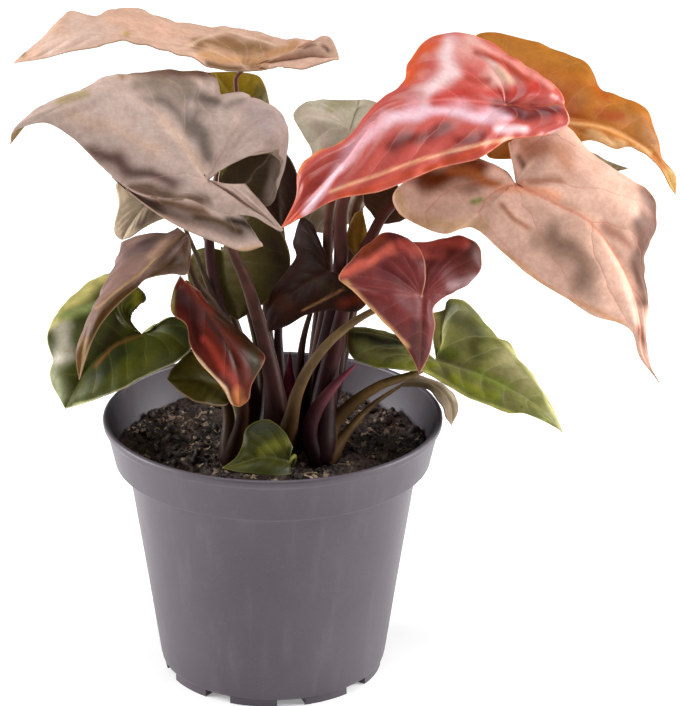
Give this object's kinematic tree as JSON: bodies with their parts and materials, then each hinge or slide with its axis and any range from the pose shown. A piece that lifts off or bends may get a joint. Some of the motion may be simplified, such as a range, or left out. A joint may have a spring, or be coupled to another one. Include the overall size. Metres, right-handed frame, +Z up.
{
  "type": "potted arrowhead plant",
  "caption": "Leafy arrowhead plant with pink, red, tan and green lobed leaves on thin stalks, in a small round grey nursery pot filled with soil.",
  "frame": {"origin": "on the floor under the middle of the pot, on the flat pad in the middle of its base", "axes": "+Z up; +X to the right and +Y away from a viewer at the front"},
  "size_m": [0.2315, 0.1319, 0.2356],
  "materials": {
    "pot_plastic": "satin grey moulded plastic with a faint grain",
    "soil_peat": null,
    "petiole_skin": null,
    "blade_high_left": null,
    "blade_great_left": null,
    "blade_olive_rear": null,
    "blade_grey_middle": null,
    "blade_pink_front": null,
    "blade_orange_right": null,
    "blade_salmon_right": null,
    "blade_small_rear": null,
    "blade_red_centre": null,
    "blade_green_right": null,
    "blade_over_rim": null,
    "blade_green_left": null,
    "blade_mauve_left": null,
    "blade_grey_left": null,
    "blade_red_left": null,
    "blade_dark_left": null,
    "blade_on_soil": null,
    "blade_brown_centre": null,
    "blade_olive_stems": null,
    "blade_dark_back": null,
    "blade_olive_sliver": null,
    "blade_rear_left": null,
    "blade_rear_right": null,
    "blade_rear_low": null
  },
  "bodies": {
    "root": {"pot": "pot_plastic", "soil": "soil_peat", "shoot_left": "petiole_skin", "shoot_front": "petiole_skin", "shoot_right": "petiole_skin", "shoot_rear_left": "petiole_skin", "shoot_rear_right": "petiole_skin", "blade_high_left": "blade_high_left", "blade_great_left": "blade_great_left", "blade_olive_rear": "blade_olive_rear", "blade_grey_middle": "blade_grey_middle", "blade_pink_front": "blade_pink_front", "blade_orange_right": "blade_orange_right", "blade_salmon_right": "blade_salmon_right", "blade_small_rear": "blade_small_rear", "blade_red_centre": "blade_red_centre", "blade_green_right": "blade_green_right", "blade_over_rim": "blade_over_rim", "blade_green_left": "blade_green_left", "blade_mauve_left": "blade_mauve_left", "blade_grey_left": "blade_grey_left", "blade_red_left": "blade_red_left", "blade_dark_left": "blade_dark_left", "blade_on_soil": "blade_on_soil", "blade_brown_centre": "blade_brown_centre", "blade_olive_stems": "blade_olive_stems", "blade_dark_back": "blade_dark_back", "blade_olive_sliver": "blade_olive_sliver", "blade_rear_left": "blade_rear_left", "blade_rear_right": "blade_rear_right", "blade_rear_low": "blade_rear_low"}
  },
  "joints": []
}
